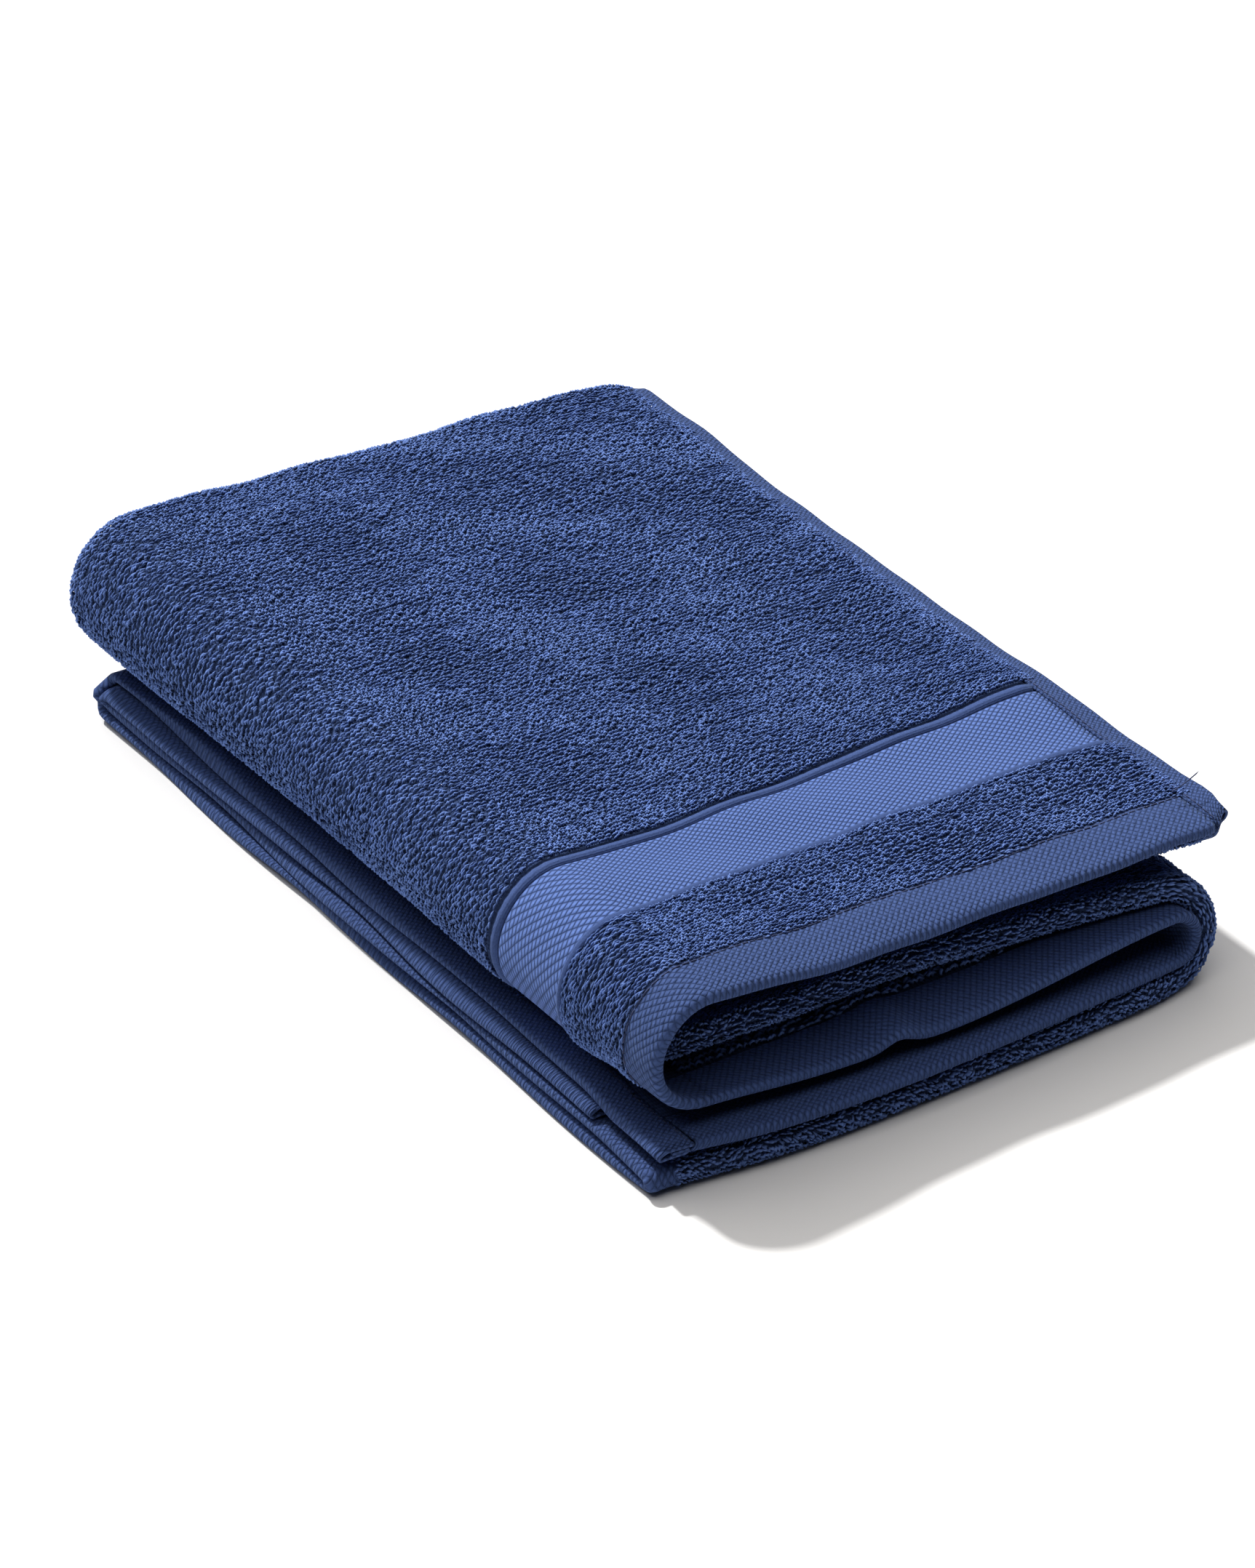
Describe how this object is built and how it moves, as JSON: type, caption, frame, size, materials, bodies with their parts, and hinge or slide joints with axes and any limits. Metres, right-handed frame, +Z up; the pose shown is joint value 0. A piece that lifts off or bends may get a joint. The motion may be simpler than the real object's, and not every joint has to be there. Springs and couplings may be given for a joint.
{
  "type": "bath towel",
  "caption": "Folded terry bath towel with looped pile, a flat-woven border, rolled end hems and stitched side hems.",
  "frame": {"origin": "on the surface the towel lies on, under the middle of the folded stack", "axes": "+X along the short side towards the top panel's open edge, +Y along the long side away from the end hem, +Z up"},
  "size_m": [0.2405, 0.368, 0.0741],
  "materials": {
    "terry_pile": "denim-blue cotton terry, short uncut loops",
    "border_weave": "denim-blue cotton, flat basket weave",
    "hem_weave": "denim-blue cotton, flat twill weave, folded double",
    "sewing_thread": "spun sewing thread, darker blue"
  },
  "bodies": {
    "base": {"left_roll_terry": "terry_pile", "middle_panel_terry": "terry_pile", "right_fold_terry": "terry_pile", "bottom_panel_terry": "terry_pile", "left_roll_end_strip": "terry_pile", "middle_panel_end_strip": "terry_pile", "right_fold_end_strip": "terry_pile", "bottom_panel_end_strip": "terry_pile", "left_roll_border": "border_weave", "middle_panel_border": "border_weave", "right_fold_border": "border_weave", "bottom_panel_border": "border_weave", "left_roll_end_hem": "hem_weave", "middle_panel_end_hem": "hem_weave", "right_fold_end_hem": "hem_weave", "bottom_panel_end_hem": "hem_weave", "base_inner_end_strip": "terry_pile", "base_inner_border": "border_weave", "base_inner_end_hem": "hem_weave", "bottom_side_hem": "hem_weave", "bottom_side_seam": "sewing_thread", "base_end_seam": "sewing_thread"},
    "top_panel": {"top_panel_terry": "terry_pile", "top_panel_end_strip": "terry_pile", "top_panel_border": "border_weave", "top_panel_end_hem": "hem_weave", "top_inner_end_strip": "terry_pile", "top_inner_border": "border_weave", "top_inner_end_hem": "hem_weave", "top_side_hem": "hem_weave", "top_side_seam": "sewing_thread", "top_end_seam": "sewing_thread", "thread_tail": "sewing_thread"}
  },
  "joints": [
    {"name": "top_panel_turn_back", "type": "hinge", "parent": "base", "child": "top_panel", "pos_m": [-0.06812, 0, 0.07278], "axis": [0, -1, 0], "range_deg": [0, 90]}
  ]
}
